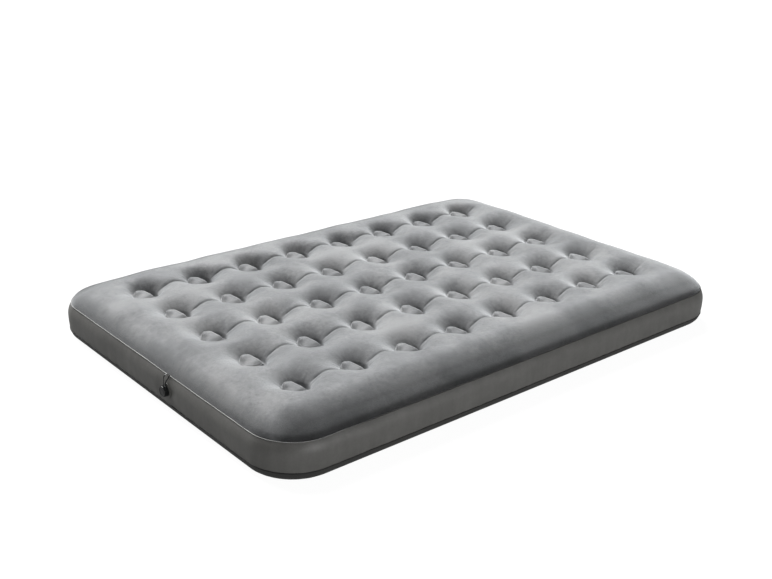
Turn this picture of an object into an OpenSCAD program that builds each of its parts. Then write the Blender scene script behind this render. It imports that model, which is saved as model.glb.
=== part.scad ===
// Air mattress for two people, blown up, with a flocked top, coil beams inside and a screw valve.
// Millimetres. The origin is at the middle of the footprint, on the ground.
// +X runs along the length, +Y across the width and +Z up. The valve is on the -X end wall.

/* [Body] */

// length of the walls, end to end
body_length = 1910; // [1700:2100]
// width of the walls, side to side
body_width = 1345; // [900:1600]
// height from the ground to the crown of the puffs
body_height = 179; // [140:260]
// corner radius seen from above
corner_radius = 153; // [145:200]
// how far the rounded shoulder reaches in from the wall
shoulder_reach = 141; // [100:144]
// how far the rounded shoulder drops from the crown
shoulder_drop = 95; // [60:110]
// how far the rounded lower edge reaches in from the wall
heel_reach = 40; // [20:60]
// how far the rounded lower edge rises from the ground
heel_rise = 36; // [20:60]
// thickness of the sheets, drawn thicker than real sheet
sheet = 3; // [2:5]

/* [Weld seams] */

// height of the middle of the upper seam
top_seam_z = 120; // [100:140]
// height of the middle of the lower seam
bottom_seam_z = 34; // [20:50]
// height of each seam bead
seam_width = 4; // [3:8]
// how far the upper bead stands out of the shoulder
top_seam_stand = 3; // [1:5]
// how far the lower bead stands out of the wall
bottom_seam_stand = 1.5; // [0.5:4]

/* [Coil beams] */

// coil beams along the length
coils_x = 8; // [4:10]
// coil beams across the width
coils_y = 5; // [3:7]
// distance between beam centres along the length
pitch_x = 207.4; // [190:230]
// distance between beam centres across the width
pitch_y = 215.6; // [190:240]
// radius of the welded disc at the bottom of each dimple
disc_radius = 37; // [25:45]
// radius where a dimple meets the crown of the puffs
dimple_radius = 86; // [60:95]
// depth of a dimple in the top
dimple_depth = 60; // [20:80]
// radius where a dimple meets the flat of the underside
under_radius = 64; // [45:95]
// depth of a dimple in the underside
under_depth = 18; // [8:40]
// outer radius of a coil beam's tube
beam_radius = 34; // [20:40]
// wall of a coil beam's tube
beam_wall = 2; // [1.5:4]
// thickness of the ring that welds the tube to a sheet
beam_flange = 2; // [1:3]
// radius of an air hole in the tube
air_hole_radius = 9; // [5:12]

/* [Valve] */

// how far the valve sits from the middle of the end wall
valve_y = -100; // [-300:300]
// height of the valve's centre
valve_z = 75; // [55:90]
// radius of the flange that is welded to the wall
flange_radius = 25; // [22:30]
// thickness of that flange
flange_thick = 2; // [1:3]
// bore of the valve base, which the valve body screws into
base_bore = 12; // [11:14]
// wall of the base's neck
neck_wall = 2.5; // [1.5:4]
// length of the base's neck behind the flange
neck_length = 26; // [15:35]
// gap at each stand-in thread and between turning pieces
gap = 0.3; // [0.2:0.5]
// radial running gap of the body seal in the base's bore
seal_gap = 0.05; // [0.01:0.1]
// bore of the valve body, which the air goes through
port_bore = 9.2; // [8:10]
// thickness of the tether collars
collar_thick = 2; // [1.5:3]
// outer radius of the collar under the valve body
body_collar_radius = 18; // [17:21]
// outer radius of the valve body's flange
body_flange_radius = 15.5; // [14:17]
// length of the threaded nozzle that the cap screws onto
nozzle_length = 4.4; // [4:5]
// length of the valve body's stem behind its collar
stem_length = 24; // [15:30]
// thickness of the seat that the check flap closes on
seat_thick = 2; // [1:3]
// radius of the opening in that seat
seat_opening = 6; // [4:7]
// radius of the check flap
flap_radius = 7.8; // [6.5:8.5]
// thickness of the check flap
flap_thick = 1; // [0.6:2]
// radius of the cap's grip
cap_radius = 16; // [15:19]
// outer face of the cap, measured from the wall
cap_face = 15.5; // [15:18]
// thickness of the cap's end
cap_end = 2.2; // [2:3]
// grip grooves round the cap
grip_grooves = 24; // [12:36]
// width of the strap between the two collars
strap_width = 6; // [4:8]
// thickness of that strap
strap_thick = 1.5; // [1:2.5]
// height of the strap's loop above the valve's centre
loop_top = 55; // [48:58]
// radius of the middle of the strap's loop
loop_radius = 8; // [6:9]

/* [Hidden] */
$fn = 72;
steps = 9;
overlap = 0.5;
half_x = body_length / 2;
half_y = body_width / 2;
run_x = body_length - 2 * corner_radius;
run_y = body_width - 2 * corner_radius;
crown_z = body_height;
shoulder_z = body_height - shoulder_drop;
plate_corner = corner_radius - shoulder_reach;
disc_top_z = body_height - dimple_depth - sheet;
disc_under_z = under_depth + sheet;
base_outer = base_bore + neck_wall;
stem_radius = base_bore - gap;
collar_w = flange_thick + gap;
body_flange_w = collar_w + collar_thick + gap;
nozzle_w = body_flange_w + collar_thick;
nozzle_end_w = nozzle_w + nozzle_length;
stem_end_w = -stem_length + collar_w;
seat_w = stem_end_w + 2 * flap_thick + gap;
flap_w = seat_w - gap - flap_thick;
lip_w = nozzle_w + gap;
lip_thick = 0.8;
cap_collar_w = lip_w + lip_thick + gap;
grip_w = cap_collar_w + collar_thick + gap;
cap_neck_radius = cap_radius - 2.5;
cap_inside_w = cap_face - cap_end;
collar_tab = 3;
strap_reach = 1.75;
seal_w = -3;
seal_tall = 2;
seal_deep = 1.5;

pvc_top = [0.70, 0.71, 0.72];
pvc_side = [0.37, 0.37, 0.36];
pvc_under = [0.28, 0.28, 0.27];
pvc_seam = [0.58, 0.58, 0.57];
pvc_inner = [0.46, 0.47, 0.47];
black = [0.04, 0.045, 0.045];
rubber = [0.09, 0.09, 0.09];

COILS = [for (i = [1:coils_x]) for (j = [1:coils_y]) str("coil_", i, "_", j)];
SHEETS = ["top_sheet", "side_wall", "bottom_sheet", "top_seam", "bottom_seam"];
VALVE = ["valve_base", "body_collar", "valve_body", "body_seal", "check_flap",
    "cap_collar", "cap_strap", "valve_cap", "cap_seal"];

// where the shoulder's surface is at height z, measured in from the wall, for a skin t thick
function shoulder_in(z, t) = let (a = shoulder_reach - t, b = shoulder_drop - t,
    u = max(0, z - shoulder_z) / b) shoulder_reach - a * sqrt(1 - u * u);
// the same for the rounded lower edge
function heel_in(z, t) = let (a = heel_reach - t, b = heel_rise - t,
    u = max(0, heel_rise - z) / b) heel_reach - a * sqrt(1 - u * u);
// the angle on the shoulder's ellipse where it reaches height z
function shoulder_angle(z, t) = asin((z - shoulder_z) / (shoulder_drop - t));
// points on the shoulder from angle a to angle b, as distance in from the wall and height
function shoulder_arc(a, b, t) = [for (k = [0:steps]) let (q = a + (b - a) * k / steps)
    [shoulder_reach - (shoulder_reach - t) * cos(q), shoulder_z + (shoulder_drop - t) * sin(q)]];
// points on the lower edge from angle a to angle b
function heel_arc(a, b, t) = [for (k = [0:steps]) let (q = a + (b - a) * k / steps)
    [heel_reach - (heel_reach - t) * cos(q), heel_rise - (heel_rise - t) * sin(q)]];
// a quarter of a dimple's side, from the disc up to the flat, for a skin t thick
function dimple_arc(rim, depth, t) = [for (k = [0:steps]) let (q = 90 * k / steps)
    [rim - (rim - disc_radius - t) * cos(q), -depth + (depth - t) * sin(q)]];
function backwards(v) = [for (k = [len(v) - 1:-1:0]) v[k]];
function coil_x(i) = (i - (coils_x + 1) / 2) * pitch_x;
function coil_y(j) = (j - (coils_y + 1) / 2) * pitch_y;

// sweeps a profile, given as distance in from the wall and height, once round the body
module swept(profile) {
    for (k = [0:3]) {
        sx = (k == 0 || k == 3) ? 1 : -1;
        sy = k < 2 ? 1 : -1;
        translate([sx * run_x / 2, sy * run_y / 2, 0])
            rotate([0, 0, 90 * k])
                rotate_extrude(angle = 90)
                    polygon([for (p = profile) [corner_radius - p[0], p[1]]]);
    }
    for (s = [-1, 1]) {
        translate([-run_x / 2, 0, 0])
            rotate([90, 0, 90])
                linear_extrude(height = run_x)
                    polygon([for (p = profile) [s * (half_y - p[0]), p[1]]]);
        translate([0, run_y / 2, 0])
            rotate([90, 0, 0])
                linear_extrude(height = run_y)
                    polygon([for (p = profile) [s * (half_x - p[0]), p[1]]]);
    }
}

// a flat plate with the body's rounded outline, reach in from the walls
module plate(reach, thick) {
    r = corner_radius - reach;
    linear_extrude(height = thick)
        union() {
            square([body_length - 2 * reach, run_y], center = true);
            square([run_x, body_width - 2 * reach], center = true);
            for (sx = [-1, 1])
                for (sy = [-1, 1])
                    translate([sx * run_x / 2, sy * run_y / 2])
                        circle(r = r);
        }
}

module at_coils() {
    for (i = [1:coils_x])
        for (j = [1:coils_y])
            translate([coil_x(i), coil_y(j), 0])
                children();
}

// the skin of one dimple, hanging down from z = 0
module dimple_skin(rim, depth) {
    outside = dimple_arc(rim, depth, 0);
    inside = dimple_arc(rim, depth, sheet);
    foot = [[0, -depth - sheet], [disc_radius + sheet, -depth - sheet]];
    rotate_extrude()
        polygon(concat(foot, inside, backwards(outside), [[0, -depth]]));
}

// turns a shape drawn along +Z from the wall plane into the valve's place, pointing out of the wall
module at_valve() {
    translate([-half_x, valve_y, valve_z])
        rotate([0, -90, 0])
            children();
}

// a plain ring along +Z
module ring(inner, outer, from, tall) {
    translate([0, 0, from])
        difference() {
            cylinder(r = outer, h = tall);
            translate([0, 0, -1])
                cylinder(r = inner, h = tall + 2);
        }
}

// flocked upper sheet: the shoulder above the upper seam, the flat and the dimples
module top_sheet() {
    low = top_seam_z + seam_width / 2;
    outside = shoulder_arc(shoulder_angle(low, 0), 90, 0);
    inside = shoulder_arc(shoulder_angle(low, sheet), 90, sheet);
    color(pvc_top)
        union() {
            swept(concat(outside, backwards(inside)));
            translate([0, 0, crown_z - sheet])
                difference() {
                    plate(shoulder_reach, sheet);
                    translate([0, 0, -1])
                        at_coils()
                            cylinder(r = dimple_radius, h = sheet + 2);
                }
            translate([0, 0, crown_z])
                at_coils()
                    dimple_skin(dimple_radius, dimple_depth);
        }
}

// smooth side wall between the two seams, with the valve's hole in the -X end
module side_wall() {
    low = bottom_seam_z + seam_width / 2;
    high = top_seam_z - seam_width / 2;
    outside = concat([[0, low]], shoulder_arc(0, shoulder_angle(high, 0), 0));
    inside = concat([[sheet, low]], shoulder_arc(0, shoulder_angle(high, sheet), sheet));
    color(pvc_side)
        difference() {
            swept(concat(outside, backwards(inside)));
            at_valve()
                translate([0, 0, -3 * sheet])
                    cylinder(r = base_outer + overlap, h = 6 * sheet);
        }
}

// lower sheet: the rounded edge below the lower seam, the flat and shallow dimples
module bottom_sheet() {
    high = bottom_seam_z - seam_width / 2;
    turn = asin((heel_rise - high) / heel_rise);
    turn_in = asin((heel_rise - high) / (heel_rise - sheet));
    outside = heel_arc(turn, 90, 0);
    inside = heel_arc(turn_in, 90, sheet);
    color(pvc_under)
        union() {
            swept(concat(outside, backwards(inside)));
            difference() {
                plate(heel_reach, sheet);
                translate([0, 0, -1])
                    at_coils()
                        cylinder(r = under_radius, h = sheet + 2);
            }
            mirror([0, 0, 1])
                at_coils()
                    dimple_skin(under_radius, under_depth);
        }
}

// bead where the upper sheet is welded to the side wall
module top_seam() {
    z = top_seam_z;
    h = seam_width / 2;
    out = shoulder_in(z, 0) - top_seam_stand;
    back = shoulder_in(z + h, sheet) + 0.2;
    color(pvc_seam)
        swept([[out + 1, z - h], [out, z - h / 2], [out, z + h / 2], [out + 1, z + h],
            [back, z + h], [back, z - h]]);
}

// bead where the lower sheet is welded to the side wall
module bottom_seam() {
    z = bottom_seam_z;
    h = seam_width / 2;
    back = heel_in(z - h, sheet) + 0.2;
    out = -bottom_seam_stand;
    color(pvc_under)
        swept([[out + 1, z - h], [out, z - h / 2], [out, z + h / 2], [out + 1, z + h],
            [back, z + h], [back, z - h]]);
}

// one coil beam: a tube with air holes and a weld ring at each end
module coil_beam(i, j) {
    tall = disc_top_z - disc_under_z;
    color(pvc_inner)
        translate([coil_x(i), coil_y(j), disc_under_z])
            difference() {
                union() {
                    cylinder(r = beam_radius, h = tall);
                    cylinder(r = disc_radius, h = beam_flange);
                    translate([0, 0, tall - beam_flange])
                        cylinder(r = disc_radius, h = beam_flange);
                }
                translate([0, 0, -1])
                    cylinder(r = beam_radius - beam_wall, h = tall + 2);
                for (a = [0, 90])
                    translate([0, 0, tall / 2])
                        rotate([90, 0, a])
                            cylinder(r = air_hole_radius, h = 3 * beam_radius, center = true);
            }
}

// valve base: a flange welded to the wall and a neck with the bore that the valve body screws into
module valve_base() {
    color(pvc_side)
        at_valve()
            union() {
                ring(base_bore, flange_radius, 0, flange_thick);
                ring(base_bore, base_outer, -neck_length, neck_length);
            }
}

// collar that travels with the valve body and holds the lower end of the strap
module body_collar() {
    color(black)
        at_valve()
            union() {
                ring(base_bore, body_collar_radius, collar_w, collar_thick);
                translate([body_collar_radius - 1, -strap_width / 2, collar_w])
                    cube([collar_tab, strap_width, collar_thick]);
            }
}

// valve body: a hollow screw with a flange, a nozzle for the cap and a seat for the check flap
module valve_body() {
    color(black)
        at_valve()
            difference() {
                union() {
                    translate([0, 0, stem_end_w])
                        cylinder(r = stem_radius, h = nozzle_end_w - stem_end_w);
                    translate([0, 0, body_flange_w])
                        cylinder(r = body_flange_radius, h = collar_thick);
                }
                translate([0, 0, seat_w + seat_thick])
                    cylinder(r = port_bore, h = 60);
                translate([0, 0, seat_w - 1])
                    cylinder(r = seat_opening, h = 2 * seat_thick);
                translate([0, 0, stem_end_w - 1])
                    cylinder(r = port_bore, h = seat_w - stem_end_w + 1);
                ring(stem_radius - seal_deep, stem_radius + 1, seal_w, seal_tall);
            }
}

// ring in the stem's groove that seals the valve body in the base's bore
module body_seal() {
    color(rubber)
        at_valve()
            ring(stem_radius - seal_deep, base_bore - seal_gap, seal_w, seal_tall);
}

// one-way flap that hangs from its upper edge and is closed against the seat
module check_flap() {
    color(rubber)
        at_valve()
            translate([0, 0, flap_w])
                cylinder(r = flap_radius, h = flap_thick);
}

// collar that travels with the cap and holds the upper end of the strap
module cap_collar() {
    color(black)
        at_valve()
            union() {
                ring(cap_neck_radius + gap, cap_radius + 1, cap_collar_w, collar_thick);
                translate([cap_radius, -strap_width / 2, cap_collar_w])
                    cube([collar_tab, strap_width, collar_thick]);
            }
}

// strap from the cap's collar, up in a loop and down past the base's flange to the body's collar
module cap_strap() {
    start = cap_radius + collar_tab;
    w_out = cap_collar_w + strap_reach;
    rise = loop_top - loop_radius - strap_thick / 2;
    mid_w = w_out + strap_thick / 2 - loop_radius;
    far_w = mid_w - loop_radius;
    low = body_collar_radius - 1 + collar_tab + 3 * gap;
    knee = flange_radius + 2;
    foot_w = collar_w + collar_thick / 2;
    lean = atan2(foot_w - far_w, rise - knee);
    leg = (rise - knee) / cos(lean);
    color(black)
        at_valve()
            translate([0, strap_width / 2, 0])
                rotate([90, 0, 0])
                    linear_extrude(height = strap_width)
                        union() {
                            translate([start, cap_collar_w])
                                square([strap_thick, strap_reach + strap_thick]);
                            translate([start, w_out])
                                square([rise - start, strap_thick]);
                            translate([rise, mid_w])
                                intersection() {
                                    difference() {
                                        circle(r = loop_radius + strap_thick / 2);
                                        circle(r = loop_radius - strap_thick / 2);
                                    }
                                    translate([0, -2 * loop_radius])
                                        square([2 * loop_radius, 4 * loop_radius]);
                                }
                            translate([rise, far_w])
                                rotate([0, 0, 180 - lean])
                                    translate([0, -strap_thick / 2])
                                        square([leg, strap_thick]);
                            translate([knee, foot_w])
                                circle(d = strap_thick);
                            translate([low, foot_w - strap_thick / 2])
                                square([knee - low, strap_thick]);
                        }
}

// screw cap with a grip, a skirt round the nozzle and a plug in the port
module valve_cap() {
    color(black)
        at_valve()
            difference() {
                union() {
                    translate([0, 0, grip_w])
                        cylinder(r = cap_radius, h = cap_face - 1 - grip_w);
                    translate([0, 0, cap_face - 1])
                        cylinder(r1 = cap_radius, r2 = cap_radius - 1, h = 1);
                    translate([0, 0, lip_w])
                        cylinder(r = cap_neck_radius, h = grip_w - lip_w);
                    translate([0, 0, lip_w])
                        cylinder(r = cap_neck_radius + 1.5, h = lip_thick);
                }
                ring(port_bore - gap, base_bore, lip_w - 1, cap_inside_w - lip_w + 1);
                translate([0, 0, lip_w - 1])
                    cylinder(r = port_bore, h = 2.5);
                for (k = [0:grip_grooves - 1])
                    rotate([0, 0, 360 * k / grip_grooves])
                        translate([cap_radius + 0.6, 0, grip_w - 1])
                            cylinder(r = 1.3, h = cap_face - grip_w - 1);
            }
}

// sealing ring in the bottom of the cap, above the nozzle's end
module cap_seal() {
    color(rubber)
        at_valve()
            ring(port_bore, stem_radius, nozzle_end_w + gap, cap_inside_w - nozzle_end_w - gap);
}

top_sheet();
side_wall();
bottom_sheet();
top_seam();
bottom_seam();
for (i = [1:coils_x])
    for (j = [1:coils_y])
        coil_beam(i, j);
valve_base();
body_collar();
valve_body();
body_seal();
check_flap();
cap_collar();
cap_strap();
valve_cap();
cap_seal();
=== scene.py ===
import math

import bpy
import numpy as np
from mathutils import Matrix, Vector


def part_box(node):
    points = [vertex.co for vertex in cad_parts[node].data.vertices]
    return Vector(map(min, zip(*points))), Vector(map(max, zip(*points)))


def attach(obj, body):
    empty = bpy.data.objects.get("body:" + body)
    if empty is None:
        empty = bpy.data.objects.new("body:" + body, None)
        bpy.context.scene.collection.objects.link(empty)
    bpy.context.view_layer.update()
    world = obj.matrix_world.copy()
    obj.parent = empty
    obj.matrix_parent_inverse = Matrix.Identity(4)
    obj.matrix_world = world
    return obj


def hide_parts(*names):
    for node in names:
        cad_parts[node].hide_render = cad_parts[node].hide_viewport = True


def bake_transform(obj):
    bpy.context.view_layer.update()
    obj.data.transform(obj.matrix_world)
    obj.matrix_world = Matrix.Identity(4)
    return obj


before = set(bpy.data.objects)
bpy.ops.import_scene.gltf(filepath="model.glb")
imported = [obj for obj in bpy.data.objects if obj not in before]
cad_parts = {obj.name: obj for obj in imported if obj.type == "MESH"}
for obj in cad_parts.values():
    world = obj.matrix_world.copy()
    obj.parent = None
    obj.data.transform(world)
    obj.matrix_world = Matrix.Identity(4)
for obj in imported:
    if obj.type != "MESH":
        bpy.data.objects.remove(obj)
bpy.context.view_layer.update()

MM = 0.001

# ---------------------------------------------------------------- sizes
wall_low, wall_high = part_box("side_wall")
bead_low, bead_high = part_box("top_seam")
foot_low, foot_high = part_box("bottom_seam")

HALF_LONG = (wall_high[0] - wall_low[0]) / 2
HALF_WIDE = (wall_high[1] - wall_low[1]) / 2
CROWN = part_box("top_sheet")[1][2]
UPPER_SEAM = (bead_low[2] + bead_high[2]) / 2
LOWER_SEAM = (foot_low[2] + foot_high[2]) / 2

# radius of the body's corners, seen from above
CORNER = 153 * MM
# the rounded shoulder: how far in it begins, and the height of its quarter curve
SHOULDER_REACH = 141 * MM
SHOULDER_DROP = 95 * MM
# the same for the rounded lower edge
HEEL_REACH = 40 * MM
HEEL_RISE = 36 * MM
# half lengths of the straight sides
RUN_LONG = HALF_LONG - CORNER
RUN_WIDE = HALF_WIDE - CORNER

flange_low, flange_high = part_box("valve_base")
VALVE_Y = (flange_low[1] + flange_high[1]) / 2
VALVE_Z = (flange_low[2] + flange_high[2]) / 2
FLANGE = (flange_high[1] - flange_low[1]) / 2
# radius of the end wall's hole for the valve
VALVE_HOLE = 15 * MM

COLUMNS = 8
ROWS = 5


def beam_place(column, row):
    low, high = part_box(f"coil_{column}_{row}")
    return (low[0] + high[0]) / 2, (low[1] + high[1]) / 2


COLUMN_X = np.array([beam_place(c, 1)[0] for c in range(1, COLUMNS + 1)])
ROW_Y = np.array([beam_place(1, r)[1] for r in range(1, ROWS + 1)])
PITCH_X = COLUMN_X[1] - COLUMN_X[0]
PITCH_Y = ROW_Y[1] - ROW_Y[0]


# ---------------------------------------------------------------- small helpers
def smooth(low, high, value):
    """0 below low, 1 above high, and an even rise between them."""
    t = np.clip((value - low) / (high - low), 0, 1)
    return t * t * (3 - 2 * t)


def hump(middle, width, value):
    """A soft ridge, 1 at its middle."""
    return np.exp(-(((value - middle) / width) ** 2))


def ripple(seed, count, longest, shortest):
    """A gentle random wave of two coordinates, between about -1 and 1, the same for the same seed."""
    draw = np.random.default_rng(seed)
    angle = draw.uniform(0, 2 * math.pi, count)
    length = np.exp(draw.uniform(math.log(shortest), math.log(longest), count))
    phase = draw.uniform(0, 2 * math.pi, count)
    across = 2 * math.pi * np.cos(angle) / length
    along = 2 * math.pi * np.sin(angle) / length

    def wave(x, y):
        total = 0
        for k in range(count):
            total = total + np.sin(across[k] * x + along[k] * y + phase[k])
        return total / math.sqrt(count)

    return wave


def points_of(piece):
    spots = np.empty(len(piece.data.vertices) * 3)
    piece.data.vertices.foreach_get("co", spots)
    return spots.reshape(-1, 3)


def put_points(piece, spots):
    piece.data.vertices.foreach_set("co", spots.reshape(-1))
    piece.data.update()


def start(name):
    """Names the primitive that was just added."""
    piece = bpy.context.active_object
    piece.name = name
    piece.data.name = name
    return piece


def only(piece):
    bpy.ops.object.select_all(action="DESELECT")
    piece.select_set(True)
    bpy.context.view_layer.objects.active = piece


def close_and_face_out(piece, gap=0.0002):
    only(piece)
    bpy.ops.object.mode_set(mode="EDIT")
    bpy.ops.mesh.select_all(action="SELECT")
    bpy.ops.mesh.remove_doubles(threshold=gap)
    bpy.ops.mesh.normals_make_consistent(inside=False)
    bpy.ops.object.mode_set(mode="OBJECT")
    bpy.ops.object.shade_smooth()


def push(x, y=0, z=0):
    """Extrudes what is selected by a step."""
    bpy.ops.mesh.extrude_region_move(TRANSFORM_OT_translate={"value": (x, y, z)})


def step_in(distance):
    """Insets the selected face."""
    bpy.ops.mesh.inset(thickness=distance, depth=0)


def round_edges(piece, width):
    """Bevels the active piece's edges, where its faces meet sharply."""
    edge = piece.modifiers.new("round_edges", "BEVEL")
    edge.width = width
    edge.segments = 3
    edge.limit_method = "ANGLE"
    edge.angle_limit = math.radians(50)
    bpy.ops.object.modifier_apply(modifier="round_edges")


def grid(name, columns, rows):
    """A flat grid, with each point's whole-number place in it, from 0."""
    bpy.ops.object.select_all(action="DESELECT")
    bpy.ops.mesh.primitive_grid_add(x_subdivisions=columns, y_subdivisions=rows, size=2)
    piece = start(name)
    flat = points_of(piece)
    i = np.rint((flat[:, 0] + 1) / 2 * columns).astype(int)
    j = np.rint((flat[:, 1] + 1) / 2 * rows).astype(int)
    return piece, i, j


# ---------------------------------------------------------------- camera, floor and light
# the floor: its shade, and how much it glows toward the piece and toward the camera
FLOOR_SHADE = 0.12
GLOW_ON_PIECE = 0.2
GLOW_SEEN = 0.96
# the even light from all round
SKY_FILL = 0.12


def set_camera():
    # the camera's own axes, and where it stands
    right = (0.76597, -0.64258, 0.01963)
    up = (0.22413, 0.29553, 0.92868)
    back = (-0.60255, -0.70694, 0.37038)
    place = (-2.258, -2.597, 1.498)
    turn = Matrix((right, up, back)).transposed()
    bpy.ops.object.camera_add(location=place, rotation=turn.to_euler())
    camera = bpy.context.active_object
    camera.name = "camera"
    camera.data.lens = 49.63
    camera.data.sensor_width = 36
    bpy.context.scene.camera = camera


def set_floor():
    bpy.ops.mesh.primitive_plane_add(size=40, location=(0, 0, -0.0005))
    floor = start("floor")
    paint = bpy.data.materials.new("floor_white")
    paint.use_nodes = True
    tree = paint.node_tree
    shader = tree.nodes["Principled BSDF"]
    shader.inputs["Base Color"].default_value = (FLOOR_SHADE, FLOOR_SHADE, FLOOR_SHADE, 1)
    shader.inputs["Roughness"].default_value = 1.0
    shader.inputs["Specular IOR Level"].default_value = 0.0
    shader.inputs["Emission Color"].default_value = (1, 1, 1, 1)
    # the camera sees a nearly white floor, and the piece gets only a little light from it
    seen = tree.nodes.new("ShaderNodeLightPath")
    glow = tree.nodes.new("ShaderNodeMapRange")
    glow.inputs["To Min"].default_value = GLOW_ON_PIECE
    glow.inputs["To Max"].default_value = GLOW_SEEN
    tree.links.new(seen.outputs["Is Camera Ray"], glow.inputs["Value"])
    tree.links.new(glow.outputs[0], shader.inputs["Emission Strength"])
    floor.data.materials.append(paint)


def sky_lamp(name, toward, spread, power):
    """A very wide, even lamp that shines from the given direction, spread degrees wide."""
    bpy.ops.object.light_add(type="SUN", location=(0, 0, 3))
    lamp = bpy.context.active_object
    lamp.name = name
    lamp.data.angle = math.radians(spread)
    lamp.data.energy = power
    lamp.rotation_euler = Vector(toward).to_track_quat("Z", "Y").to_euler()


def set_light():
    scene = bpy.context.scene
    scene.view_settings.view_transform = "Standard"
    world = bpy.data.worlds.new("studio")
    scene.world = world
    world.use_nodes = True
    tree = world.node_tree
    fill = tree.nodes["Background"]
    fill.inputs["Color"].default_value = (1, 1, 1, 1)
    fill.inputs["Strength"].default_value = SKY_FILL
    backdrop = tree.nodes.new("ShaderNodeBackground")
    backdrop.inputs["Color"].default_value = (1, 1, 1, 1)
    backdrop.inputs["Strength"].default_value = 1.0
    seen = tree.nodes.new("ShaderNodeLightPath")
    mix = tree.nodes.new("ShaderNodeMixShader")
    tree.links.new(seen.outputs["Is Camera Ray"], mix.inputs[0])
    tree.links.new(fill.outputs[0], mix.inputs[1])
    tree.links.new(backdrop.outputs[0], mix.inputs[2])
    tree.links.new(mix.outputs[0], tree.nodes["World Output"].inputs["Surface"])
    sky_lamp("overhead", toward=(0.12, 0.8, 0.72), spread=48, power=6.4)
    sky_lamp("side_fill", toward=(0.1, -0.95, 0.02), spread=50, power=1.9)


# ---------------------------------------------------------------- the dimpled sheets
def shoulder_table(seam_height):
    """Distance along the sheet from the corner's centre, with the plan distance and the height there."""
    last = math.asin((seam_height - (CROWN - SHOULDER_DROP)) / SHOULDER_DROP)
    turn = np.linspace(math.pi / 2, last, 60)
    out = CORNER - SHOULDER_REACH + SHOULDER_REACH * np.cos(turn)
    height = CROWN - SHOULDER_DROP + SHOULDER_DROP * np.sin(turn)
    out = np.concatenate([[0], out])
    height = np.concatenate([[CROWN], height])
    along = np.concatenate([[0], np.cumsum(np.hypot(np.diff(out), np.diff(height)))])
    return along, out, height


def heel_table(seam_height):
    """The same for the lower sheet, whose edge turns up to the lower seam."""
    last = math.asin((HEEL_RISE - seam_height) / HEEL_RISE)
    turn = np.linspace(math.pi / 2, last, 30)
    out = CORNER - HEEL_REACH + HEEL_REACH * np.cos(turn)
    height = HEEL_RISE - HEEL_RISE * np.sin(turn)
    out = np.concatenate([[0], out])
    height = np.concatenate([[0], height])
    along = np.concatenate([[0], np.cumsum(np.hypot(np.diff(out), np.diff(height)))])
    return along, out, height


def on_body(flat_x, flat_y, table):
    """Places flat sheet coordinates on the body's rounded outline."""
    along, out, height = table
    sheet = along[-1]
    past_x = np.clip((np.abs(flat_x) - RUN_LONG) / sheet, 0, 1)
    past_y = np.clip((np.abs(flat_y) - RUN_WIDE) / sheet, 0, 1)
    # the flat sheet's square corner becomes a quarter of a disc
    round_x = past_x * np.sqrt(1 - past_y * past_y / 2)
    round_y = past_y * np.sqrt(1 - past_x * past_x / 2)
    far = np.hypot(round_x, round_y)
    safe = np.where(far > 0, far, 1)
    reach = np.interp(far * sheet, along, out)
    z = np.interp(far * sheet, along, height)
    x = np.sign(flat_x) * (np.minimum(np.abs(flat_x), RUN_LONG) + reach * round_x / safe)
    y = np.sign(flat_y) * (np.minimum(np.abs(flat_y), RUN_WIDE) + reach * round_y / safe)
    return x, y, z


def line_places(edge_lines, lines, cells, pitch, half):
    """The straight places of a grid's lines along one side: even over the dimples, and even beyond them."""
    border = cells * pitch / 2
    edge = np.linspace(border, half, edge_lines + 1)
    inner = np.linspace(-border, border, lines * cells + 1)
    return np.concatenate([-edge[:0:-1], inner, edge[1:]])


# how far from a dimple's middle the grid's lines bend to its fold
FOLD_FADE = 30 * MM


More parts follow.
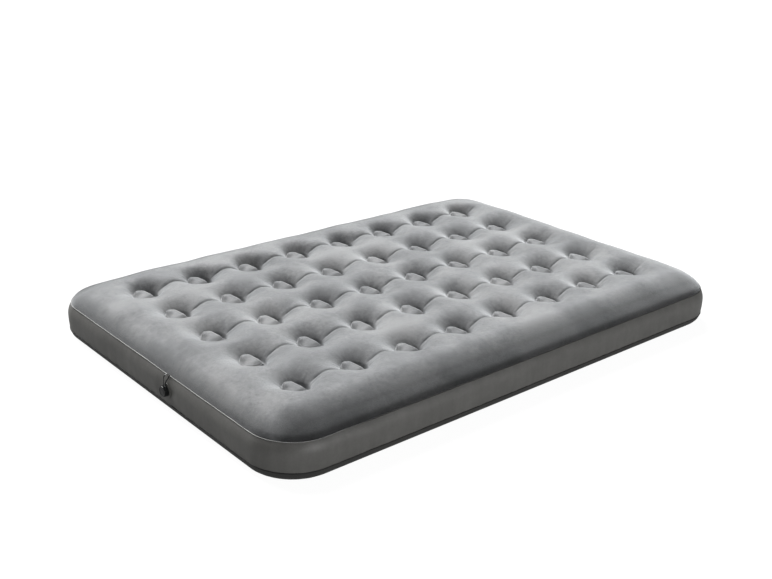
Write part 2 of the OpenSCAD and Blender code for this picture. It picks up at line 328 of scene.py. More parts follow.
def ringed_sheet(name, radii, middle, edge_lines, sheet, fold=0, fold_turn=0):
    """A flat grid whose lines run in rings round each dimple's middle and straight between the dimples.

    The lines that cross a dimple's middle bend to lie along a straight fold, which is fold away from it."""
    rings = len(radii) - 1
    lines = 2 * rings
    piece, i, j = grid(name, lines * COLUMNS + 2 * edge_lines, lines * ROWS + 2 * edge_lines)
    straight_x = line_places(edge_lines, lines, COLUMNS, PITCH_X, RUN_LONG + sheet)[i]
    straight_y = line_places(edge_lines, lines, ROWS, PITCH_Y, RUN_WIDE + sheet)[j]
    in_x = np.clip(i - edge_lines, 0, lines * COLUMNS)
    in_y = np.clip(j - edge_lines, 0, lines * ROWS)
    inside = (in_x == i - edge_lines) & (in_y == j - edge_lines)
    cell_x = np.clip(in_x // lines, 0, COLUMNS - 1)
    cell_y = np.clip(in_y // lines, 0, ROWS - 1)
    step_x = in_x - cell_x * lines - rings
    step_y = in_y - cell_y * lines - rings
    ring = np.maximum(np.abs(step_x), np.abs(step_y))
    safe = np.maximum(ring, 1)
    turn = np.where(
        np.abs(step_x) >= np.abs(step_y),
        np.where(step_x > 0, 0, math.pi) + step_y * np.where(step_x > 0, 1, -1) / safe * math.pi / 4,
        np.where(step_y > 0, 1, -1) * (math.pi / 2 - step_x / safe * math.pi / 4),
    )
    turn = np.where(turn > math.pi, turn - 2 * math.pi, turn)
    radius = np.array(radii)[ring]
    widest = radii[-1]

    # inside the weld disc the rings' middles move to the fold, and outside it they stay
    follow = 1 - smooth(0.45 * widest, 0.7 * widest, radius)
    shift = fold * np.clip(1 - radius / FOLD_FADE, 0, 1)
    meet = np.arccos(np.clip((fold - shift) / np.maximum(radius, 0.1 * MM), -1, 1)) if fold else math.pi / 2
    meet = math.pi / 2 + (meet - math.pi / 2) * follow
    size = np.abs(turn)
    bent = np.where(
        size < math.pi / 2,
        size / (math.pi / 2) * meet,
        meet + (size - math.pi / 2) / (math.pi / 2) * (math.pi - meet),
    )
    turn = np.sign(turn) * bent + fold_turn * follow
    square = smooth(widest * 0.5, widest, radius)
    stay = 1 - smooth(widest * 0.42, widest, radius)
    round_x = (middle[0] + shift * math.cos(fold_turn)) * stay + radius * np.cos(turn)
    round_y = (middle[1] + shift * math.sin(fold_turn)) * stay + radius * np.sin(turn)
    box_x = step_x / safe * radius * (PITCH_X / 2 / widest)
    box_y = step_y / safe * radius * (PITCH_Y / 2 / widest)
    ring_x = COLUMN_X[cell_x] + (1 - square) * round_x + square * box_x
    ring_y = ROW_Y[cell_y] + (1 - square) * round_y + square * box_y
    flat_x = np.where(inside, ring_x, straight_x)
    flat_y = np.where(inside, ring_y, straight_y)
    return piece, flat_x, flat_y


# ---------------------------------------------------------------- the flocked top
# the weld disc in each dimple: its radius, and its middle from the beam's
DISC = 40 * MM
DISC_MIDDLE = (-6 * MM, -1 * MM)
# the disc's fold: how far past its middle it lies, and which way it faces
FOLD = 8 * MM
FOLD_TURN = math.radians(5)
# depths below the crown on top of the fold and behind it
CREST = 24 * MM
PIT = 50 * MM
# how steeply the disc rises to the fold, and how quickly it falls behind it
TILT = 0.24
CLIFF = 7 * MM
# where the disc's rim lifts (below 0) or droops: how much, toward which angle and how wide,
# and the distances from the middle where it begins and where it is full
RIM_BENDS = [
    (-8.5 * MM, 2.3, 0.55, 14 * MM, 37 * MM),
    (3.5 * MM, 1.4, 0.35, 24 * MM, 39 * MM),
    (7 * MM, -1.5, 0.7, 16 * MM, 39 * MM),
]
# the weld's rings on the disc, the middle one a groove: height, radius and half width
WELD_RINGS = [
    (1.1 * MM, 37 * MM, 1.7 * MM),
    (-0.7 * MM, 33.7 * MM, 1.4 * MM),
    (0.6 * MM, 30.5 * MM, 1.3 * MM),
]
# the throat round the disc: its radius, and its middle from the beam's
THROAT = 36 * MM
THROAT_MIDDLE = (-4 * MM, -1 * MM)
# the puffs: how far from a throat they rise, the same along the long sides, and how high
PUFF_REACH = 100 * MM
EDGE_REACH = 58 * MM
PUFF_RISE = 45 * MM
# less makes the puffs fuller and their sides steeper
PUFF_CURVE = 0.72
# how softly the slopes of neighbouring dimples run together
RUN_TOGETHER = 20 * MM
# the crease along each row of dimples
CREASE = 6 * MM
CREASE_WIDTH = 5 * MM
# the small folds round a throat: their depth, and how many to a turn in each of three sets
GATHER = 0.16 * MM
GATHER_COUNTS = (17, 23, 31)
# how much lower the crown is at the body's corners, and the shoulder along the long sides
CORNER_SINK = 5 * MM
ROLL_OVER = 6 * MM
# the sheet's swelling just above the seam
PILLOW = 1 * MM
# radii of the grid's rings round a dimple, in millimetres, closest together at the rim
TOP_RINGS = [0, 3, 6, 9, 12, 15, 18, 21, 24, 26.5, 28.5, 30, 31.5, 33, 34.5, 36, 37.5, 39, 40.5,
             42.5, 45, 48, 51.5, 55.5, 60.5, 67, 76, 88, 103.7]


def nearest_dimple(x, y):
    column = np.abs(x[:, None] - COLUMN_X).argmin(1)
    row = np.abs(y[:, None] - ROW_Y).argmin(1)
    return column, row


def from_throats(x, y):
    """Distance from the nearest throat's middle, rounded off where two are equally near."""
    close = 0
    for c in range(COLUMNS):
        for r in range(ROWS):
            away = np.hypot(x - COLUMN_X[c] - THROAT_MIDDLE[0], y - ROW_Y[r] - THROAT_MIDDLE[1])
            close = close + np.exp(-away / RUN_TOGETHER)
    return -RUN_TOGETHER * np.log(close)


def puff_depth(x, y, step_x, step_y, deeper, phases):
    """Depth of the round-topped puffs between the dimples, steep at each dimple's throat."""
    away = from_throats(x, y)
    edge = smooth(ROW_Y[-1] - 20 * MM, ROW_Y[-1] + 45 * MM, np.abs(y))
    reach = PUFF_REACH + (EDGE_REACH - PUFF_REACH) * edge
    up = 1 - np.clip((away - THROAT) / reach, 0.002, 1)
    depth = (PUFF_RISE + deeper) * (1 - (1 - up * up) ** PUFF_CURVE)

    # a crease runs along each row of dimples
    ends = 1 - smooth(COLUMN_X[-1] + 20 * MM, COLUMN_X[-1] + 100 * MM, np.abs(x))
    crease = CREASE * ends * np.exp(-np.abs(step_y) / CREASE_WIDTH)
    depth = depth + crease * smooth(THROAT, THROAT + 30 * MM, away)

    # the sheet gathers in small folds where it is pulled into the throat
    turn = np.arctan2(step_y, step_x)
    gather = sum(np.sin(turn * count + phases[:, k]) for k, count in enumerate(GATHER_COUNTS))
    return depth + GATHER * gather * hump(THROAT + 8 * MM, 20 * MM, away)


def disc_depth(step_x, step_y, higher, steeper):
    """Depth of the weld disc: a tilted flap up to its fold, and a cliff behind the fold."""
    slide = step_x * math.cos(FOLD_TURN) + step_y * math.sin(FOLD_TURN) - FOLD
    depth = CREST - higher + (TILT + steeper) * -np.minimum(slide, 0)
    depth = depth + (PIT - CREST) * (1 - np.exp(-np.maximum(slide, 0) / CLIFF))
    out = np.hypot(step_x, step_y)
    around = np.arctan2(step_y, step_x)
    for amount, angle, width, begin, full in RIM_BENDS:
        depth = depth + amount * hump(angle, width, around) * smooth(begin, full, out)
    for height, radius, width in WELD_RINGS:
        depth = depth - height * hump(radius, width, out) * (slide < 0.5 * MM)
    return depth


def top_depth(x, y):
    """How far the flocked sheet is pulled below the crown, a little unlike at each dimple."""
    column, row = nearest_dimple(x, y)
    draw = np.random.default_rng(11)
    higher = draw.normal(0, 1.2 * MM, (COLUMNS, ROWS))[column, row]
    steeper = draw.normal(0, 0.03, (COLUMNS, ROWS))[column, row]
    deeper = draw.normal(0, 1.0 * MM, (COLUMNS, ROWS))[column, row]
    phases = draw.uniform(0, 2 * math.pi, (COLUMNS, ROWS, 3))[column, row]
    step_x = x - COLUMN_X[column]
    step_y = y - ROW_Y[row]
    outside = puff_depth(x, y, step_x, step_y, deeper, phases)
    disc_x = step_x - DISC_MIDDLE[0]
    disc_y = step_y - DISC_MIDDLE[1]
    disc = disc_depth(disc_x, disc_y, higher, steeper)
    inside = 1 - smooth(DISC - 1.5 * MM, DISC + 2.5 * MM, np.hypot(disc_x, disc_y))
    return outside + inside * (disc - outside)


def corner_sink(x, y):
    """The crown is a little lower at the body's corners."""
    return CORNER_SINK * smooth(0.66, 0.9, np.abs(x)) * smooth(0.38, 0.62, np.abs(y))


def roll_over(x, y):
    """The long sides roll over earlier than the ends, and the sheet swells just above the seam."""
    past_x = np.maximum(np.abs(x) - RUN_LONG, 0)
    past_y = np.maximum(np.abs(y) - RUN_WIDE, 0)
    reach = np.hypot(past_x, past_y)
    left = CORNER - reach
    seam = wall_inset(UPPER_SEAM)
    toward_side = (past_y / np.maximum(reach, MM)) ** 2
    bend = smooth(seam, 55 * MM, left) * (1 - smooth(62 * MM, 135 * MM, left))
    swell = hump(seam + 10 * MM, 7 * MM, left) * smooth(seam, seam + 4 * MM, left)
    return ROLL_OVER * bend * toward_side - PILLOW * swell


def make_top():
    table = shoulder_table(UPPER_SEAM)
    radii = [r * MM for r in TOP_RINGS]
    sheet = table[0][-1]
    top, flat_x, flat_y = ringed_sheet(
        "flocked_top", radii, DISC_MIDDLE, 28, sheet, fold=FOLD, fold_turn=FOLD_TURN
    )
    x, y, z = on_body(flat_x, flat_y, table)
    free = smooth(UPPER_SEAM, UPPER_SEAM + 45 * MM, z)
    z = z - top_depth(x, y) - corner_sink(x, y) * free - roll_over(x, y)
    z = z + 1.3 * MM * ripple(3, 14, 0.5, 0.12)(x, y) * free
    z = np.maximum(z, UPPER_SEAM)
    put_points(top, np.stack([x, y, z], axis=1))
    bpy.ops.object.shade_smooth()
    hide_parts("top_sheet")
    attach(top, "mattress")
    return top


# ---------------------------------------------------------------- the walls
# the walls' grid: how many faces round the body and up its side
WALL_COLUMNS = 1200
WALL_ROWS = 26
# how far the walls belly out, and the depths of their small puckers and wide swells
BELLY = 3.0 * MM
PUCKER = 0.35 * MM
SWELL = 0.8 * MM
# how far inside the body's outline the skin lies, before it bellies out
SKIN = 0.6 * MM


def outline(share, inset):
    """A point on the body's outline, set in by inset; share runs once round from 0 to 1."""
    arc = math.pi / 2 * CORNER
    lengths = [2 * RUN_WIDE, arc, 2 * RUN_LONG, arc] * 2
    total = sum(lengths)
    travelled = np.mod(share, 1) * total
    x = np.zeros_like(travelled)
    y = np.zeros_like(travelled)
    out = np.zeros_like(travelled)
    begin = 0
    centres = [(1, -1), (1, 1), (1, 1), (-1, 1), (-1, 1), (-1, -1), (-1, -1), (1, -1)]
    for k, length in enumerate(lengths):
        here = (travelled >= begin) & (travelled < begin + length)
        past = travelled[here] - begin
        quarter = k // 2 * math.pi / 2
        side_x, side_y = centres[k]
        if k % 2 == 0:
            out[here] = quarter
            ahead = past
        else:
            out[here] = quarter + past / CORNER
            ahead = 0
        far = CORNER - inset[here]
        x[here] = side_x * RUN_LONG + far * np.cos(out[here]) - ahead * math.sin(quarter)
        y[here] = side_y * RUN_WIDE + far * np.sin(out[here]) + ahead * math.cos(quarter)
        begin += length
    return x, y


def wall_inset(z):
    """How far in from the walls the shoulder's curve is at height z."""
    u = np.maximum(0, z - (CROWN - SHOULDER_DROP)) / SHOULDER_DROP
    return SHOULDER_REACH * (1 - np.sqrt(1 - u * u))


def open_hole(piece, gone):
    """Deletes the marked points, and the faces that touch them."""
    only(piece)
    bpy.ops.object.mode_set(mode="EDIT")
    bpy.ops.mesh.select_all(action="DESELECT")
    bpy.ops.object.mode_set(mode="OBJECT")
    piece.data.vertices.foreach_set("select", gone.tolist())
    bpy.ops.object.mode_set(mode="EDIT")
    bpy.ops.mesh.select_mode(type="VERT")
    bpy.ops.mesh.delete(type="VERT")
    bpy.ops.object.mode_set(mode="OBJECT")


def make_walls():
    walls, i, j = grid("wall_skin", WALL_COLUMNS, WALL_ROWS)
    share = i / WALL_COLUMNS
    level = j / WALL_ROWS
    z = LOWER_SEAM + (UPPER_SEAM - LOWER_SEAM) * level
    belly = BELLY * np.sin(math.pi * level) ** 0.8
    perimeter = 4 * (RUN_LONG + RUN_WIDE) + 2 * math.pi * CORNER
    near_low = np.exp(-(z - LOWER_SEAM) / (16 * MM))
    near_high = np.exp(-(UPPER_SEAM - z) / (12 * MM))
    round_x = np.cos(2 * math.pi * share) * perimeter / (2 * math.pi)
    round_y = np.sin(2 * math.pi * share) * perimeter / (2 * math.pi)
    puckers = ripple(21, 16, 70 * MM, 22 * MM)(round_x, round_y)
    swells = ripple(22, 12, 420 * MM, 140 * MM)(round_x, round_y + z)
    puckered = PUCKER * puckers * (near_low + 0.5 * near_high)
    out = belly + puckered + SWELL * swells * np.sin(math.pi * level)

    # the end wall is flat round the valve, and the points nearest to its hole are moved onto the rim
    x, y = outline(share, wall_inset(z))
    far_end = x > 0
    from_valve = np.hypot(y - VALVE_Y, z - VALVE_Z) + 10 * far_end
    out = out * smooth(FLANGE + 2 * MM, FLANGE + 45 * MM, from_valve)
    x, y = outline(share, wall_inset(z) - out + SKIN)
    rim = (from_valve > VALVE_HOLE - 3 * MM) & (from_valve < VALVE_HOLE + 2.5 * MM)
    pull = np.where(rim, VALVE_HOLE / from_valve, 1)
    y = VALVE_Y + (y - VALVE_Y) * pull
    z = VALVE_Z + (z - VALVE_Z) * pull
    put_points(walls, np.stack([x, y, z], axis=1))
    open_hole(walls, from_valve < VALVE_HOLE - 3 * MM)
    close_and_face_out(walls)
    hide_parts("side_wall")
    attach(walls, "mattress")
    return walls


# ---------------------------------------------------------------- the underside
# radii of its grid's rings round a dimple, in millimetres
UNDER_RINGS = [0, 12, 23, 31, 36, 39, 43, 48, 54, 61, 72, 87, 103.7]
# its dimples: depth, radius of the flat middle, and how softly they fade
UNDER_DEPTH = 18 * MM
UNDER_THROAT = 38 * MM
UNDER_SPREAD = 13 * MM


def make_underside():
    table = heel_table(LOWER_SEAM)
    radii = [r * MM for r in UNDER_RINGS]
    under, flat_x, flat_y = ringed_sheet("under_skin", radii, (0, 0), 16, table[0][-1])
    x, y, z = on_body(flat_x, flat_y, table)
    column, row = nearest_dimple(x, y)
    away = np.hypot(x - COLUMN_X[column], y - ROW_Y[row])
    z = z + UNDER_DEPTH * np.exp(-np.maximum(away - UNDER_THROAT, 0) / UNDER_SPREAD)
    z = z + 0.6 * MM * hump(35 * MM, 1.6 * MM, away)
    put_points(under, np.stack([x, y, z], axis=1))
    only(under)
    bpy.ops.object.mode_set(mode="EDIT")
    bpy.ops.mesh.select_all(action="SELECT")
    bpy.ops.mesh.flip_normals()
    bpy.ops.object.mode_set(mode="OBJECT")
    bpy.ops.object.shade_smooth()
    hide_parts("bottom_sheet")
    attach(under, "mattress")
    return under


# ---------------------------------------------------------------- the weld beads
def make_bead(name, node, height, inset, thick, tall, wave):
    """A thin weld bead round the body, from a bevelled plane's outline.

    Its place is height and inset, its size is thick and tall, and wave is how much it wavers."""
    bpy.ops.object.select_all(action="DESELECT")
    bpy.ops.mesh.primitive_plane_add(size=2, location=(0, 0, 0))
    bead = start(name)
    bpy.ops.object.mode_set(mode="EDIT")
    bpy.ops.mesh.select_all(action="SELECT")
    bpy.ops.transform.resize(value=(HALF_LONG - inset, HALF_WIDE - inset, 1))
    bpy.ops.transform.translate(value=(0, 0, height - tall / 2))
    bpy.ops.mesh.bevel(offset=CORNER - inset, affect="VERTICES", segments=40)
    bpy.ops.mesh.delete(type="ONLY_FACE")
    bpy.ops.mesh.select_all(action="SELECT")
    push(0, 0, tall)
    bpy.ops.mesh.select_all(action="SELECT")
    bpy.ops.mesh.normals_make_consistent(inside=False)
    bpy.ops.object.mode_set(mode="OBJECT")
    split_long_sides(bead)
    skin = bead.modifiers.new("thickness", "SOLIDIFY")
    skin.thickness = thick
    skin.offset = -1
    bpy.ops.object.modifier_apply(modifier="thickness")
    round_edges(bead, 0.42 * min(thick, tall))
    cloud = bpy.data.textures.new(name + "_waver", "CLOUDS")
    cloud.noise_scale = 0.09
    sway = bead.modifiers.new("waver", "DISPLACE")
    sway.texture = cloud
    sway.texture_coords = "LOCAL"
    sway.direction = "Z"
    sway.strength = wave
    sway.mid_level = 0.5
    bpy.ops.object.modifier_apply(modifier="waver")
    bpy.ops.object.shade_smooth()
    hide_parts(node)
    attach(bead, "mattress")
    return bead


def split_long_sides(bead):
    """Cuts the four straight sides into short lengths."""
    only(bead)
    ends = np.array([v.co for v in bead.data.vertices])
    long = []
    for edge in bead.data.edges:
        one, two = edge.vertices
        long.append(bool(np.linalg.norm(ends[one] - ends[two]) > 0.5))
    bpy.ops.object.mode_set(mode="EDIT")
    bpy.ops.mesh.select_mode(type="EDGE")
    bpy.ops.mesh.select_all(action="DESELECT")
    bpy.ops.object.mode_set(mode="OBJECT")
    bead.data.edges.foreach_set("select", long)
    bpy.ops.object.mode_set(mode="EDIT")
    bpy.ops.mesh.subdivide(number_cuts=110)
    bpy.ops.mesh.select_mode(type="VERT")
    bpy.ops.object.mode_set(mode="OBJECT")


# ---------------------------------------------------------------- the valve's cap
# how far the grip's face and its back stand out from the end wall
CAP_FACE = 15.5 * MM
CAP_BACK = 10.3 * MM
# radii of the grip, the neck and the neck's lip
CAP_GRIP = 16 * MM
CAP_NECK = 13.5 * MM
CAP_LIP = 15 * MM
# the grip's faces, and how many of them to one groove
GRIP_SIDES = 96
SIDES_TO_A_GROOVE = 4
GROOVE_DEPTH = 0.9 * MM


def pick_faces(piece, facing, near, far):
    """Selects only the faces that look along facing and lie between near and far along X."""
    bpy.ops.object.mode_set(mode="OBJECT")
    marks = []
    for face in piece.data.polygons:
        marks.append(face.normal.dot(Vector(facing)) > 0.99 and near < face.center.x < far)
    piece.data.polygons.foreach_set("select", marks)
    bpy.ops.object.mode_set(mode="EDIT")


def cut_grooves(cap):
    bpy.ops.object.mode_set(mode="EDIT")
    bpy.ops.mesh.select_mode(type="FACE")
    bpy.ops.mesh.select_all(action="DESELECT")
    bpy.ops.object.mode_set(mode="OBJECT")
    marks = []
    for face in cap.data.polygons:
        turn = math.atan2(face.center.z - VALVE_Z, face.center.y - VALVE_Y)
        place = int(round((turn / (2 * math.pi)) * GRIP_SIDES + 0.5))
        marks.append(abs(face.normal.x) < 0.5 and place % SIDES_TO_A_GROOVE == 0)
    cap.data.polygons.foreach_set("select", marks)
    bpy.ops.object.mode_set(mode="EDIT")
    bpy.ops.mesh.inset(thickness=0.12 * MM, depth=-GROOVE_DEPTH, use_individual=True)


def make_cap():
    """A moulded cap: a grooved grip, a dished face, a neck with a lip, and a hollow back with a plug."""
    outer = -(HALF_LONG + CAP_FACE)
    inner = -(HALF_LONG + CAP_BACK)
    bpy.ops.object.select_all(action="DESELECT")
    bpy.ops.mesh.primitive_cylinder_add(
        vertices=GRIP_SIDES, radius=CAP_GRIP, depth=inner - outer,
        location=((outer + inner) / 2, VALVE_Y, VALVE_Z), rotation=(0, math.pi / 2, 0),
    )
    cap = start("screw_cap")
    bpy.ops.object.transform_apply(location=True, rotation=True)
    cut_grooves(cap)

    # the face: a rim, a shallow dish and a raised middle
    pick_faces(cap, (-1, 0, 0), outer - MM, outer + 0.5 * MM)
    step_in(2.6 * MM)
    push(0.9 * MM)
    step_in(5.2 * MM)
    push(-0.5 * MM)
    step_in(1.2 * MM)

    # the back: a neck, its lip, the bore over the valve's nozzle, and the plug
    pick_faces(cap, (1, 0, 0), inner - 0.5 * MM, inner + MM)
    step_in(CAP_GRIP - CAP_NECK)
    push(2.6 * MM)
    push(0)
    wider = CAP_LIP / CAP_NECK
    bpy.ops.transform.resize(value=(1, wider, wider), center_override=(inner, VALVE_Y, VALVE_Z))
    push(0.8 * MM)
    step_in(3 * MM)
    push(-6.4 * MM)
    step_in(3.1 * MM)
    push(4.9 * MM)
    bpy.ops.mesh.select_all(action="SELECT")
    bpy.ops.mesh.normals_make_consistent(inside=False)
    bpy.ops.object.mode_set(mode="OBJECT")
    round_edges(cap, 0.3 * MM)
    bpy.ops.object.shade_smooth_by_angle(angle=math.radians(35))
    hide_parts("valve_cap")
    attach(cap, "valve_cap")
    return cap


# ---------------------------------------------------------------- the valve's strap
STRAP_WIDE = 4.2 * MM
STRAP_THICK = 1.5 * MM
# radius of the loop's middle line, and how far the near leg leans out on its way up
LOOP = 9.5 * MM
LEG_LEAN = 1.5 * MM
LEG_STEPS = 6
# how far the whole strap leans to one side
SIDE_LEAN = math.radians(13)


def make_strap():
    """A moulded strap from the cap's collar up, over a loop, and down to the valve's own collar."""
    front = -(HALF_LONG + 9.0 * MM)
    back = -(HALF_LONG + 3.3 * MM)
    foot = VALVE_Z + 17.5 * MM
    knee = VALVE_Z + 27 * MM
    tall = VALVE_Z + 47 * MM
    tab = 3 * MM
    bpy.ops.object.select_all(action="DESELECT")
    bpy.ops.mesh.primitive_plane_add(size=1, location=(front, VALVE_Y, foot))
    strap = start("strap_loop")
    bpy.ops.object.transform_apply(location=True)
    bpy.ops.object.mode_set(mode="EDIT")
    bpy.ops.mesh.select_all(action="SELECT")
    bpy.ops.transform.resize(
        value=(STRAP_THICK, STRAP_WIDE, 1), center_override=(front, VALVE_Y, foot)
    )

    # the near leg, the loop, and the far leg down to its knee and its foot
    push(0, 0, tab)
    for k in range(LEG_STEPS):
        push(-LEG_LEAN / LEG_STEPS, 0, (tall - foot - tab) / LEG_STEPS)
    middle = (front - LEG_LEAN + LOOP, VALVE_Y, tall)
    bpy.ops.mesh.spin(steps=18, angle=-math.pi, center=middle, axis=(0, 1, 0))
    reach = back - (front - LEG_LEAN + 2 * LOOP)
    for k in range(LEG_STEPS):
        push(reach / LEG_STEPS, 0, (knee - tall) / LEG_STEPS)
    push(0, 0, -4 * MM)
    push(0, 0, -4.5 * MM)
    bpy.ops.mesh.select_all(action="SELECT")
    bpy.ops.mesh.normals_make_consistent(inside=False)
    bpy.ops.transform.rotate(
        value=-SIDE_LEAN, orient_axis="X", center_override=(front, VALVE_Y, VALVE_Z + 19 * MM)
    )
    bpy.ops.object.mode_set(mode="OBJECT")
    round_edges(strap, 0.55 * MM)
    bpy.ops.object.shade_smooth_by_angle(angle=math.radians(40))
    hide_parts("cap_strap")
    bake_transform(strap)
    return strap


# ---------------------------------------------------------------- materials
def add_node(tree, kind, **values):
    node = tree.nodes.new("ShaderNode" + kind)
    for name, value in values.items():
        setattr(node, name, value)
    return node


def join(tree, source, target):
    tree.links.new(source, target)


def start_group(name, inputs, outputs):
    """A shader node group with named value inputs, a Vector input, and named value outputs."""
    group = bpy.data.node_groups.new(name, "ShaderNodeTree")
    group.interface.new_socket("Vector", in_out="INPUT", socket_type="NodeSocketVector")
    for label, value in inputs:
        socket = group.interface.new_socket(label, in_out="INPUT", socket_type="NodeSocketFloat")
        socket.default_value = value
    for label in outputs:
        group.interface.new_socket(label, in_out="OUTPUT", socket_type="NodeSocketFloat")
    enter = group.nodes.new("NodeGroupInput")
    leave = group.nodes.new("NodeGroupOutput")
    return group, enter, leave


def work_out(tree, operation, one, two, three=None):
    """A Math node; each of its inputs is a socket or a number."""
    node = add_node(tree, "Math", operation=operation)
    for k, value in enumerate((one, two, three)):
        if value is None:
            continue
        if isinstance(value, (int, float)):
            node.inputs[k].default_value = value
        else:
            join(tree, value, node.inputs[k])
    return node.outputs[0]


def speckle(tree, vector, size, detail=3.0, rough=0.55):
    """Noise whose lumps are about size across."""
    noise = add_node(tree, "TexNoise")
    noise.inputs["Detail"].default_value = detail
    noise.inputs["Roughness"].default_value = rough
    join(tree, vector, noise.inputs["Vector"])
    join(tree, work_out(tree, "DIVIDE", 1.0, size), noise.inputs["Scale"])
    return noise.outputs[0]


def group_uneven_tone():
    """Tone is about 1, and varies by Amount in wide clouds, patches and flecks."""
    group, enter, leave = start_group("uneven_tone", [("Size", 0.12), ("Amount", 0.1)], ["Tone"])
    vector = enter.outputs["Vector"]
    size = enter.outputs["Size"]
    wide = speckle(group, vector, size)
    patch = speckle(group, vector, work_out(group, "MULTIPLY", size, 0.24))
    fleck = speckle(group, vector, work_out(group, "MULTIPLY", size, 0.035))
    mixed = work_out(group, "MULTIPLY_ADD", wide, 0.9, work_out(group, "MULTIPLY", patch, 0.65))
    mixed = work_out(group, "MULTIPLY_ADD", fleck, 0.45, mixed)
    mixed = work_out(group, "SUBTRACT", mixed, 1.0)
    swing = work_out(group, "MULTIPLY", enter.outputs["Amount"], 2.0)
    tone = work_out(group, "MULTIPLY_ADD", mixed, swing, 1.0)
    join(group, tone, leave.inputs["Tone"])
    return group


def group_scuffs():
    """Mask is 1 in rubbed places, 0 elsewhere."""
    group, enter, leave = start_group("scuffs", [("Size", 0.2), ("Share", 0.3)], ["Mask"])
    vector = enter.outputs["Vector"]
    size = enter.outputs["Size"]
    place = speckle(group, vector, size, 4.0, 0.6)
    broken = speckle(group, vector, work_out(group, "MULTIPLY", size, 0.06), 4.0, 0.7)
    both = work_out(group, "MULTIPLY_ADD", broken, 0.35, place)
    level = work_out(group, "SUBTRACT", 0.95, work_out(group, "MULTIPLY", enter.outputs["Share"], 0.5))
    above = work_out(group, "SUBTRACT", both, level)
    mask = add_node(group, "Clamp")
    join(group, work_out(group, "MULTIPLY", above, 5.0), mask.inputs[0])
    join(group, mask.outputs[0], leave.inputs["Mask"])
    return group


def group_grain():
    """Height is a fine even grain, with grains about Size across."""
    group, enter, leave = start_group("grain", [("Size", 0.001)], ["Height"])
    vector = enter.outputs["Vector"]
    size = enter.outputs["Size"]
    fine = speckle(group, vector, size, 2.0, 0.6)
    coarse = speckle(group, vector, work_out(group, "MULTIPLY", size, 5.0), 2.0, 0.5)
    join(group, work_out(group, "MULTIPLY_ADD", coarse, 0.8, fine), leave.inputs["Height"])
    return group


def group_streaks():
    """Streak is about 0.5, with upright streaks about Width wide."""
    group, enter, leave = start_group("streaks", [("Width", 0.02)], ["Streak"])
    stretch = add_node(group, "Mapping")
    stretch.inputs["Scale"].default_value = (1, 1, 0.12)
    join(group, enter.outputs["Vector"], stretch.inputs["Vector"])
    broad = speckle(group, stretch.outputs[0], enter.outputs["Width"], 2.0, 0.5)
    join(group, broad, leave.inputs["Streak"])
    return group


def use_group(tree, group, vector, **values):
    node = add_node(tree, "Group", node_tree=group)
    join(tree, vector, node.inputs["Vector"])
    for label, value in values.items():
        node.inputs[label].default_value = value
    return node.outputs[0]


def start_material(name, rough):
    """A new material with its tree, its shader and the piece's own coordinates."""
    material = bpy.data.materials.new(name)
    material.use_nodes = True
    tree = material.node_tree
    shader = tree.nodes["Principled BSDF"]
    shader.inputs["Roughness"].default_value = rough
    place = add_node(tree, "TexCoord").outputs["Object"]
    return material, tree, shader, place


def toned(tree, colour, tone):
    """The colour multiplied by a value."""
    node = add_node(tree, "VectorMath", operation="SCALE")
    if isinstance(colour, tuple):
        node.inputs[0].default_value = colour
    else:
        join(tree, colour, node.inputs[0])
    join(tree, tone, node.inputs["Scale"])
    return node.outputs[0]


def mixed_colour(tree, share, one, two):
    node = add_node(tree, "Mix", data_type="RGBA")
    join(tree, share, node.inputs["Factor"])
    for socket, colour in ((node.inputs[6], one), (node.inputs[7], two)):
        if isinstance(colour, tuple):
            socket.default_value = (*colour, 1)
        else:
            join(tree, colour, socket)
    return node.outputs[2]


def bumpy(tree, shader, height, depth):
    bump = add_node(tree, "Bump")
    bump.inputs["Strength"].default_value = 1.0
    bump.inputs["Distance"].default_value = depth
    join(tree, height, bump.inputs["Height"])
    join(tree, bump.outputs[0], shader.inputs["Normal"])


def position(tree, place, axis, low, high, both_ways=True):
    """0 below low and 1 above high along an axis, with an even rise between.

    With both_ways it is measured from the body's middle toward either side."""
    split = add_node(tree, "SeparateXYZ")
    join(tree, place, split.inputs[0])
    reached = split.outputs[axis]
    if both_ways:
        reached = work_out(tree, "ABSOLUTE", reached, None)
    rise = add_node(tree, "MapRange")
    rise.inputs["From Min"].default_value = low
    rise.inputs["From Max"].default_value = high
    join(tree, reached, rise.inputs["Value"])
    return rise.outputs[0]


UNEVEN_TONE = group_uneven_tone()
SCUFFS = group_scuffs()
GRAIN = group_grain()
STREAKS = group_streaks()


def clouded(tree, place, colour, size, amount):
    """The colour, lighter and darker by amount in clouds of about that size."""
    return toned(tree, colour, use_group(tree, UNEVEN_TONE, place, Size=size, Amount=amount))


def rubbed_places(tree, place, size, share):
    return use_group(tree, SCUFFS, place, Size=size, Share=share)


def worn(tree, rubbed, amount, colour, bare):
    """The colour, with some of the bare one in the rubbed places."""
    return mixed_colour(tree, work_out(tree, "MULTIPLY", rubbed, amount), colour, bare)


def finish(tree, shader, place, colour, grain, depth):
    """Lays the colour on, with a fine grain in relief."""
    join(tree, colour, shader.inputs["Base Color"])
    bumpy(tree, shader, use_group(tree, GRAIN, place, Size=grain), depth)


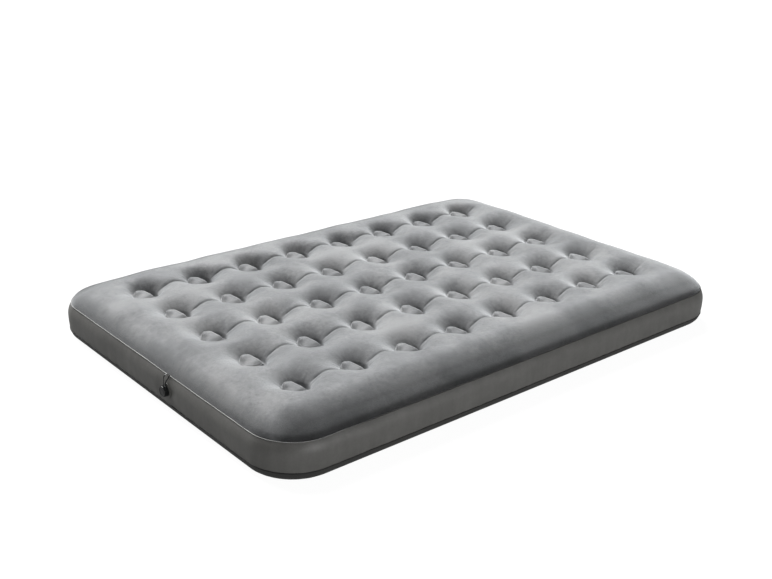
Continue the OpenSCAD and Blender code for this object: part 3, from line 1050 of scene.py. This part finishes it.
def make_flock():
    """Short grey pile, rubbed lighter in patches, with painted shade down the shoulder."""
    flock, tree, shader, place = start_material("flock", rough=0.9)
    shader.inputs["Sheen Weight"].default_value = 0.8
    shader.inputs["Sheen Roughness"].default_value = 0.45
    shader.inputs["Sheen Tint"].default_value = (0.95, 0.98, 1, 1)
    shader.inputs["Specular IOR Level"].default_value = 0.2
    colour = clouded(tree, place, (0.15, 0.1530, 0.1567), size=0.11, amount=0.5)
    rubbed = rubbed_places(tree, place, size=0.2, share=0.66)
    colour = worn(tree, rubbed, 0.6, colour, (0.3, 0.3, 0.3))
    # painted shade: the base colour is made darker down the shoulder, where the light falls away
    side = position(tree, place, 1, HALF_WIDE - 125 * MM, HALF_WIDE - 55 * MM)
    end = position(tree, place, 0, HALF_LONG - 65 * MM, HALF_LONG - 15 * MM)
    down = work_out(tree, "MAXIMUM", side, end)
    colour = toned(tree, colour, work_out(tree, "MULTIPLY_ADD", down, -0.75, 1.0))
    finish(tree, shader, place, colour, grain=0.0012, depth=0.00045)
    return flock


def make_wall_vinyl():
    """Smooth grey vinyl with faint upright streaks, a little rougher where it is rubbed."""
    wall, tree, shader, place = start_material("wall_vinyl", rough=0.42)
    colour = clouded(tree, place, (0.16, 0.1584, 0.1504), size=0.16, amount=0.22)
    streak = use_group(tree, STREAKS, place, Width=0.022)
    colour = toned(tree, colour, work_out(tree, "MULTIPLY_ADD", streak, 0.26, 0.87))
    rubbed = rubbed_places(tree, place, size=0.12, share=0.2)
    colour = worn(tree, rubbed, 0.3, colour, (0.13, 0.13, 0.125))
    join(tree, work_out(tree, "MULTIPLY_ADD", rubbed, 0.12, 0.42), shader.inputs["Roughness"])
    finish(tree, shader, place, colour, grain=0.0016, depth=0.00012)
    return wall


def make_base_vinyl():
    """Dark vinyl, scuffed by the ground."""
    base, tree, shader, place = start_material("base_vinyl", rough=0.5)
    colour = clouded(tree, place, (0.05, 0.05, 0.048), size=0.2, amount=0.3)
    rubbed = rubbed_places(tree, place, size=0.15, share=0.35)
    colour = worn(tree, rubbed, 0.4, colour, (0.1, 0.099, 0.095))
    finish(tree, shader, place, colour, grain=0.002, depth=0.0003)
    return base


def make_seam_vinyl():
    """The upper bead, pale at the valve's end and dark along the rest."""
    seam, tree, shader, place = start_material("seam_vinyl", rough=0.6)
    along = position(tree, place, 0, -0.86, -0.62, both_ways=False)
    colour = mixed_colour(tree, along, (0.2, 0.2, 0.195), (0.035, 0.035, 0.034))
    colour = clouded(tree, place, colour, size=0.09, amount=0.5)
    finish(tree, shader, place, colour, grain=0.0015, depth=0.0002)
    return seam


def make_valve_plastic():
    """Near-black moulded plastic, greyer and duller where it is handled."""
    plastic, tree, shader, place = start_material("valve_plastic", rough=0.32)
    colour = clouded(tree, place, (0.014, 0.0155, 0.016), size=0.02, amount=0.3)
    rubbed = rubbed_places(tree, place, size=0.02, share=0.35)
    colour = worn(tree, rubbed, 0.35, colour, (0.05, 0.052, 0.052))
    join(tree, work_out(tree, "MULTIPLY_ADD", rubbed, 0.2, 0.3), shader.inputs["Roughness"])
    finish(tree, shader, place, colour, grain=0.0006, depth=0.00005)
    return plastic


def make_plain(name, rough, colour, size, amount, grain, depth):
    """One clouded colour with a fine grain, and no wear."""
    plain, tree, shader, place = start_material(name, rough)
    colour = clouded(tree, place, colour, size, amount)
    finish(tree, shader, place, colour, grain, depth)
    return plain


def lay_material(piece, material):
    piece.data.materials.clear()
    piece.data.materials.append(material)


def cad_piece(name):
    return bpy.data.objects[name]


# ---------------------------------------------------------------- the mattress put together
set_camera()
set_floor()
set_light()
top = make_top()
walls = make_walls()
under = make_underside()
upper_bead = make_bead(
    "upper_bead", "top_seam",
    height=UPPER_SEAM, inset=9.0 * MM, thick=3.2 * MM, tall=2.6 * MM, wave=2.0 * MM,
)
lower_bead = make_bead(
    "lower_bead", "bottom_seam",
    height=LOWER_SEAM, inset=-1.2 * MM, thick=2.6 * MM, tall=3.4 * MM, wave=2.6 * MM,
)
strap = make_strap()
cap = make_cap()

wall_vinyl = make_wall_vinyl()
valve_plastic = make_valve_plastic()
lower_seam_vinyl = make_plain(
    "lower_seam_vinyl", rough=0.6, colour=(0.018, 0.018, 0.0175),
    size=0.09, amount=0.35, grain=0.0015, depth=0.0002,
)
beam_vinyl = make_plain(
    "beam_vinyl", rough=0.5, colour=(0.11, 0.11, 0.108),
    size=0.08, amount=0.2, grain=0.0015, depth=0.0002,
)
seal_rubber = make_plain(
    "seal_rubber", rough=0.7, colour=(0.02, 0.02, 0.02),
    size=0.02, amount=0.2, grain=0.0008, depth=0.00008,
)
lay_material(top, make_flock())
lay_material(walls, wall_vinyl)
lay_material(under, make_base_vinyl())
lay_material(upper_bead, make_seam_vinyl())
lay_material(lower_bead, lower_seam_vinyl)
lay_material(strap, valve_plastic)
lay_material(cap, valve_plastic)
for column in range(1, COLUMNS + 1):
    for row in range(1, ROWS + 1):
        lay_material(cad_piece(f"coil_{column}_{row}"), beam_vinyl)
lay_material(cad_piece("valve_base"), wall_vinyl)
for name in ("body_collar", "valve_body", "cap_collar"):
    lay_material(cad_piece(name), valve_plastic)
for name in ("body_seal", "check_flap", "cap_seal"):
    lay_material(cad_piece(name), seal_rubber)
